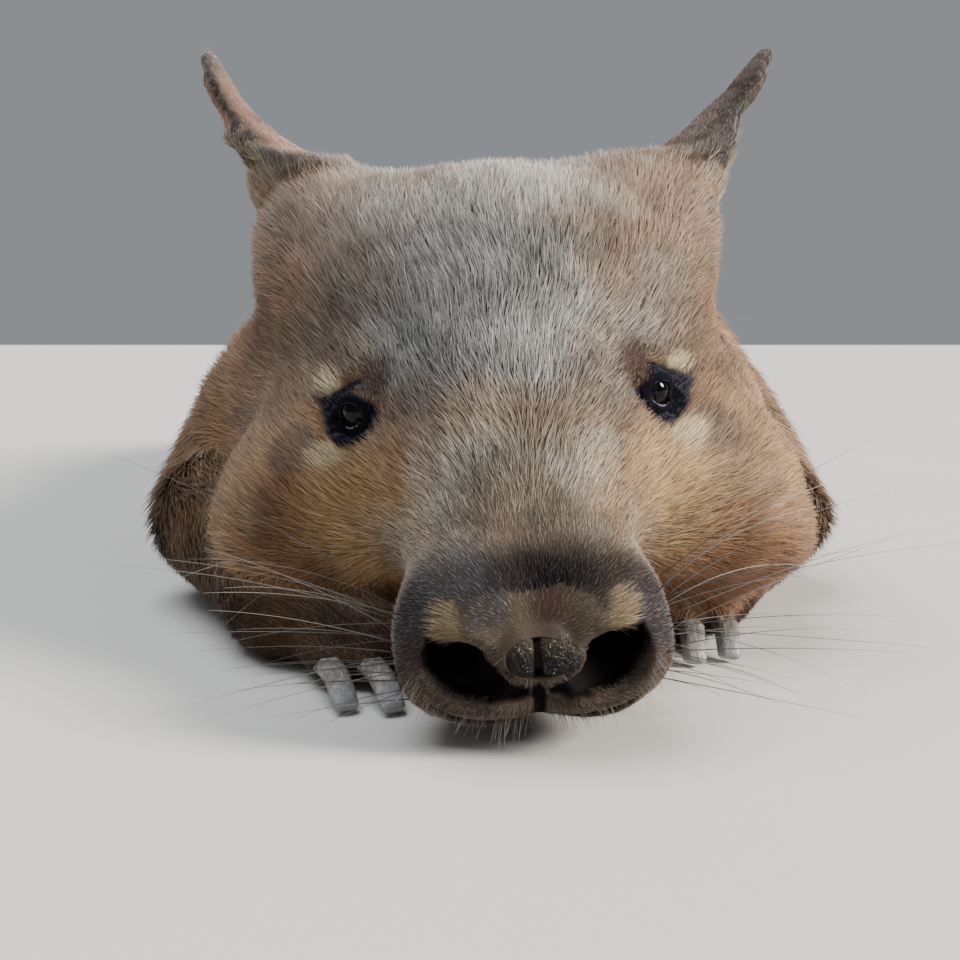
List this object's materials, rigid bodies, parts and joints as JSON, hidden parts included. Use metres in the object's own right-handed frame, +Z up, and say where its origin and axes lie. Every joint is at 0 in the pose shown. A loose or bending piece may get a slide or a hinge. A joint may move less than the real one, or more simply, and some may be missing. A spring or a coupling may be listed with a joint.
{
  "type": "hairy-nosed wombat",
  "caption": "Life-size still model of a hairy-nosed wombat lying on its belly, chin down between its forepaws, with upright ears, a haired nose and digging claws.",
  "frame": {"origin": "on the floor under the middle of the animal's bounding box", "axes": "+Z up, the nose points along -Y, the animal's left side is +X"},
  "size_m": [0.318, 0.7828, 0.2347],
  "materials": {
    "face_fur": "dense short grizzled fur",
    "body_fur": "dense silky fur",
    "leg_fur": "dense silky fur",
    "ear_fur": "thin short fur over skin",
    "eye": "wet",
    "nose_skin": "granular bare skin",
    "claw": "worn horn"
  },
  "bodies": {
    "root": {"head": "face_fur", "nose": "nose_skin", "neck": "body_fur", "torso": "body_fur", "tail": "body_fur", "ear_left": "ear_fur", "eye_left": "eye", "upper_arm_left": "leg_fur", "forearm_left": "leg_fur", "forepaw_left": "leg_fur", "forepaw_left_claw_1": "claw", "forepaw_left_claw_2": "claw", "forepaw_left_claw_3": "claw", "forepaw_left_claw_4": "claw", "forepaw_left_claw_5": "claw", "thigh_left": "leg_fur", "hind_foot_left": "leg_fur", "hind_foot_left_claw_1": "claw", "hind_foot_left_claw_2": "claw", "hind_foot_left_claw_3": "claw", "hind_foot_left_claw_4": "claw", "ear_right": "ear_fur", "eye_right": "eye", "upper_arm_right": "leg_fur", "forearm_right": "leg_fur", "forepaw_right": "leg_fur", "forepaw_right_claw_1": "claw", "forepaw_right_claw_2": "claw", "forepaw_right_claw_3": "claw", "forepaw_right_claw_4": "claw", "forepaw_right_claw_5": "claw", "thigh_right": "leg_fur", "hind_foot_right": "leg_fur", "hind_foot_right_claw_1": "claw", "hind_foot_right_claw_2": "claw", "hind_foot_right_claw_3": "claw", "hind_foot_right_claw_4": "claw"}
  },
  "joints": []
}
